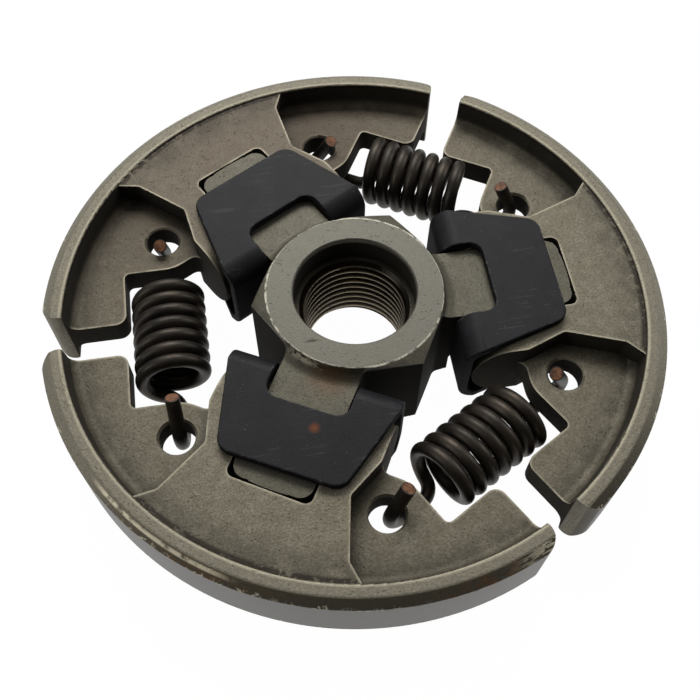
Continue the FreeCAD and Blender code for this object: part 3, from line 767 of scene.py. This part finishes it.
def cropped_end():
    material, tree, surface, place = new_material("cropped_end")
    tone = use(tree, BLOTCHES, {"Vector": place, "Size": 0.0006, "Contrast": 0.7})["Tone"]
    rust = mixed(tree, tone, colour(72, 48, 35), colour(146, 98, 66))
    tree.links.new(rust, surface.inputs["Base Color"])
    surface.inputs["Metallic"].default_value = 0.3
    surface.inputs["Roughness"].default_value = 0.5
    return material


# Each spring is cut in two halves at its middle, and each half ends in one shoe's hole
SPRING_FINISHES = [spring_wire(), cropped_end()]
for number in (1, 2, 3):
    whole = wind_spring(number)
    bisector = Matrix.Rotation(TURN * (number - 0.5), 3, "Z") @ Vector((1, 0, 0))
    along = Vector((-bisector.y, bisector.x, 0))
    for label, side, shoe in (("ahead", 1, number % 3 + 1), ("behind", -1, number)):
        half = whole.copy()
        bmesh.ops.bisect_plane(half, geom=half.verts[:] + half.edges[:] + half.faces[:], plane_co=(0, 0, 0),
                               plane_no=-side * along, clear_outer=True)
        piece = finish_piece(f"spring_{number}_{label}", half, None, f"spring_{number}",
                             materials=SPRING_FINISHES, slot="spring_wire", crease=50)
        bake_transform(piece)
    whole.free()


# The photographer's table: a white sheet, soft light from above and behind, and the camera
# at the height and distance that the photograph was taken from. The table and the lights are
# in metres, and the camera's place is in millimetres.
TABLE_RADIUS = 3.0
GLOW = 1.06
GLOW_SHARE = 0.93
CLOTH = (0.4, 0.4, 0.4, 1)
WHITE = (1, 1, 1, 1)
DIM = (0.03, 0.03, 0.03, 1)
BRIGHT = (0.45, 0.45, 0.45, 1)


def plain_white(name):
    # Seen or mirrored, the sheet glows white, and the light that it throws is that of grey cloth
    material = bpy.data.materials.new(name)
    material.use_nodes = True
    tree = material.node_tree
    tree.nodes.remove(tree.nodes["Principled BSDF"])
    cloth = put(tree, "BsdfDiffuse", {"Color": CLOTH}).outputs[0]
    glow = put(tree, "Emission", {"Color": WHITE, "Strength": GLOW}).outputs[0]
    ray = put(tree, "LightPath").outputs
    share = sum_of(tree, "MAXIMUM", ray["Is Camera Ray"], ray["Is Glossy Ray"])
    share = sum_of(tree, "MULTIPLY", share, GLOW_SHARE)
    shown = put(tree, "MixShader", {0: share, 1: cloth, 2: glow}).outputs[0]
    tree.links.new(shown, tree.nodes["Material Output"].inputs["Surface"])
    return material


disc = bmesh.new()
bmesh.ops.create_circle(disc, cap_ends=True, segments=96, radius=TABLE_RADIUS)
table_mesh = bpy.data.meshes.new("table")
disc.to_mesh(table_mesh)
disc.free()
table_mesh.materials.append(plain_white("white_sheet"))
table = bpy.data.objects.new("table", table_mesh)
bpy.context.scene.collection.objects.link(table)

world = bpy.data.worlds.new("studio")
bpy.context.scene.world = world
world.use_nodes = True
sky = world.node_tree
background = sky.nodes["Background"]
seen = put(sky, "LightPath").outputs["Is Camera Ray"]
toward = put(sky, "TexCoord").outputs["Generated"]
facing = put(sky, "VectorMath", {0: toward, 1: (-0.15, 0.7, 0.7)}, operation="DOT_PRODUCT").outputs["Value"]
room = mixed(sky, fade(sky, facing, 0.1, 1.0), DIM, BRIGHT)
sky.links.new(mixed(sky, seen, room, WHITE), background.inputs["Color"])


def softbox(name, where, size, power):
    # A soft rectangular lamp that points at the part
    lamp = bpy.data.lights.new(name, "AREA")
    lamp.shape = "RECTANGLE"
    lamp.size, lamp.size_y = size
    lamp.energy = power
    stand = bpy.data.objects.new(name, lamp)
    stand.location = where
    stand.rotation_euler = (-Vector(where)).to_track_quat("-Z", "Y").to_euler()
    bpy.context.scene.collection.objects.link(stand)


softbox("top_light", (0.02, 0.34, 0.38), (0.35, 0.2), 1.5)
softbox("left_light", (-0.42, -0.05, 0.2), (0.12, 0.3), 0.35)
softbox("right_light", (0.42, 0.1, 0.2), (0.12, 0.3), 0.45)

ELEVATION = math.radians(60.254)
ROLL = math.radians(1.085)
CAMERA_TURN = math.radians(-10)
DISTANCE = 104.35
AIM = Vector((-0.39, -1.84, 0))
FILM_WIDTH = 36
FOCAL_PIXELS = 923.4
PHOTO_PIXELS = 700
across = Vector((1, 0, 0))
back = Vector((0, -math.cos(ELEVATION), math.sin(ELEVATION)))
up = back.cross(across)
right = across * math.cos(ROLL) + up * math.sin(ROLL)
top = up * math.cos(ROLL) - across * math.sin(ROLL)
axes = Matrix((right, top, back)).transposed().to_4x4()
stand = Matrix.Translation((AIM + back * DISTANCE) * MM) @ axes
lens = bpy.data.cameras.new("camera")
lens.sensor_width = FILM_WIDTH
lens.lens = FILM_WIDTH * FOCAL_PIXELS / PHOTO_PIXELS
lens.clip_start = 0.005
camera = bpy.data.objects.new("camera", lens)
camera.matrix_world = Matrix.Translation((0, 0, RIM_LOW * MM)) @ Matrix.Rotation(CAMERA_TURN, 4, "Z") @ stand
bpy.context.scene.collection.objects.link(camera)
bpy.context.scene.camera = camera
bpy.context.scene.view_settings.view_transform = "Standard"

bpy.context.view_layer.update()
